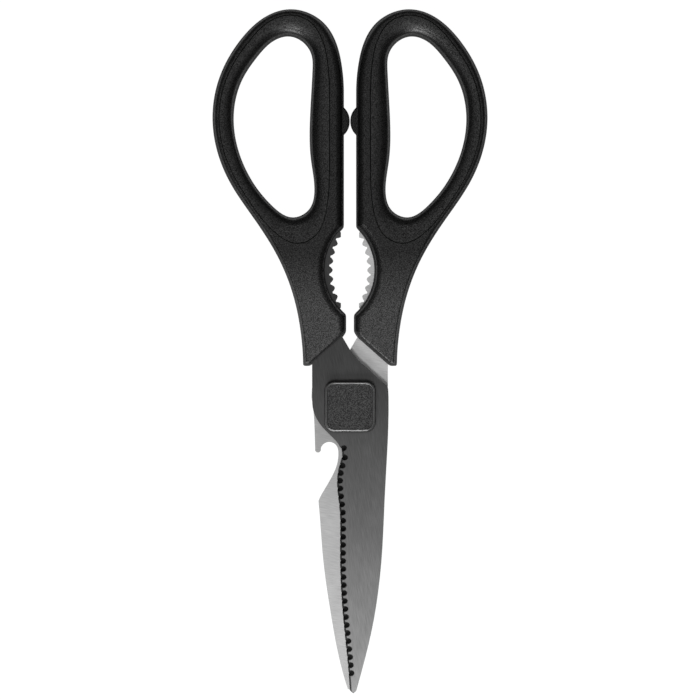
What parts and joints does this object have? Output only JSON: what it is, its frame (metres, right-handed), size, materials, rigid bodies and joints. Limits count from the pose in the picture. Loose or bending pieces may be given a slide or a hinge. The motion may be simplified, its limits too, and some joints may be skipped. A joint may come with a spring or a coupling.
{
  "type": "kitchen shears",
  "caption": "kitchen shears with moulded finger bows, a toothed nutcracker gap, a bottle opener notch and a serrated front blade",
  "frame": {"origin": "centre of the outline of the closed shears, on the plane that the handles' backs lie on", "axes": "+Z out of the front, where the square pivot cover is; +Y from the blade tips to the finger bows; +X to the right seen from the front"},
  "size_m": [0.0926, 0.2299, 0.012],
  "materials": {
    "front_blade_steel": "dark, finely brushed along the blade",
    "rear_blade_steel": "bright, ground across the blade",
    "handle_shell": "black, fine moulded grain",
    "grip_liner": "black, smooth satin",
    "bumper": "black, smooth satin",
    "cap_plastic": "black, fine moulded grain",
    "hardware_steel": "turned",
    "slip_washer": "plain sheet"
  },
  "bodies": {
    "front_half": {"front_blade": "front_blade_steel", "left_handle": "handle_shell", "left_grip_liner": "grip_liner", "left_bumper": "bumper", "pivot_cap": "cap_plastic", "pivot_bolt": "hardware_steel", "spring_washer": "hardware_steel", "slip_washer": "slip_washer", "nut_washer": "hardware_steel", "pivot_nut": "hardware_steel"},
    "rear_half": {"rear_blade": "rear_blade_steel", "right_handle": "handle_shell", "right_grip_liner": "grip_liner", "right_bumper": "bumper"}
  },
  "joints": [
    {"name": "blade_pivot", "type": "hinge", "parent": "front_half", "child": "rear_half", "pos_m": [0, -0.01865, 0.006], "axis": [0, 0, -1], "range_deg": [0, 90]}
  ]
}
